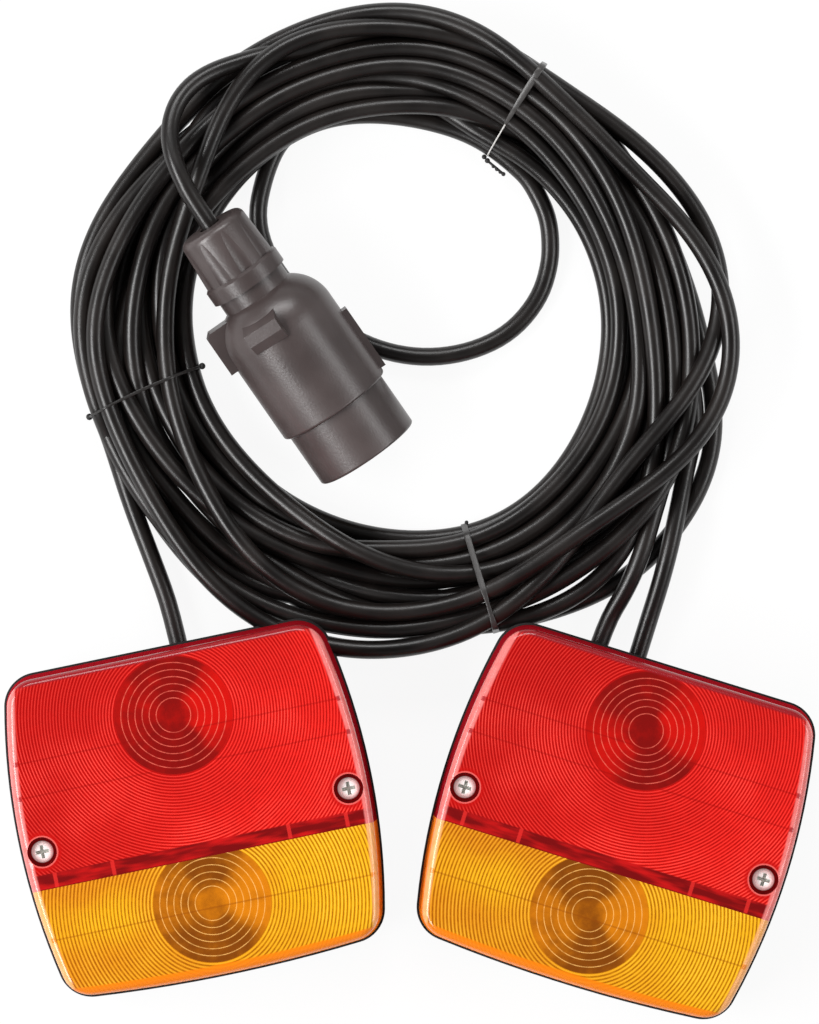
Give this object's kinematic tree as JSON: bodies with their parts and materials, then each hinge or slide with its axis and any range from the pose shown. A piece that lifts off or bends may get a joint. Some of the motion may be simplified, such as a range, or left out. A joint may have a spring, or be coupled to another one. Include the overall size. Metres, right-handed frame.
{
  "type": "trailer lamp set",
  "caption": "Pair of square rear trailer lamps with red and amber lenses, joined by a long black lead that is wound into a tied coil and ends in a round multi-pin plug.",
  "frame": {"origin": "middle of the box round the two lamps, on the surface that their backs lie on", "axes": "+X from the left lamp to the right lamp, +Y from the lamps to the coil, +Z out of the lenses"},
  "size_m": [0.2367, 0.2987, 0.0462],
  "materials": {
    "base": "black moulding, fine grain",
    "rubber": "matt black",
    "core_sheath": "smooth insulation",
    "red_lens": "clear red acrylic with fine rings",
    "amber_lens": "clear amber acrylic with fine rings",
    "screw": "bright plated",
    "reflector": "satin",
    "bulb": "clear",
    "holder": "plated sheet",
    "contact": "bare",
    "cable": "satin black sheath",
    "tie": "black coated wire",
    "plug": "dark grey moulding, eggshell"
  },
  "bodies": {
    "root": {"left_base": "base", "left_grommet": "rubber", "left_cores": "core_sheath", "left_lens_seal": "rubber", "left_red_lens": "red_lens", "left_amber_lens": "amber_lens", "left_lens_screws": "screw", "left_reflector": "reflector", "left_stop_bulb": "bulb", "left_stop_holder": "holder", "left_stop_contact": "contact", "left_indicator_bulb": "bulb", "left_indicator_holder": "holder", "left_indicator_contact": "contact", "right_base": "base", "right_grommet": "rubber", "right_cores": "core_sheath", "right_lens_seal": "rubber", "right_red_lens": "red_lens", "right_amber_lens": "amber_lens", "right_lens_screws": "screw", "right_reflector": "reflector", "right_stop_bulb": "bulb", "right_stop_holder": "holder", "right_stop_contact": "contact", "right_indicator_bulb": "bulb", "right_indicator_holder": "holder", "right_indicator_contact": "contact", "cable_coil": "cable", "inner_loop": "cable", "left_lamp_tail": "cable", "right_lamp_tail": "cable", "link_tail": "cable", "plug_tail": "cable", "tie_upper": "tie", "tie_left": "tie", "tie_lower": "tie", "plug_body": "plug", "plug_nose": "plug", "plug_pins": "contact", "plug_gland_nut": "plug", "plug_cable_seal": "rubber"}
  },
  "joints": []
}
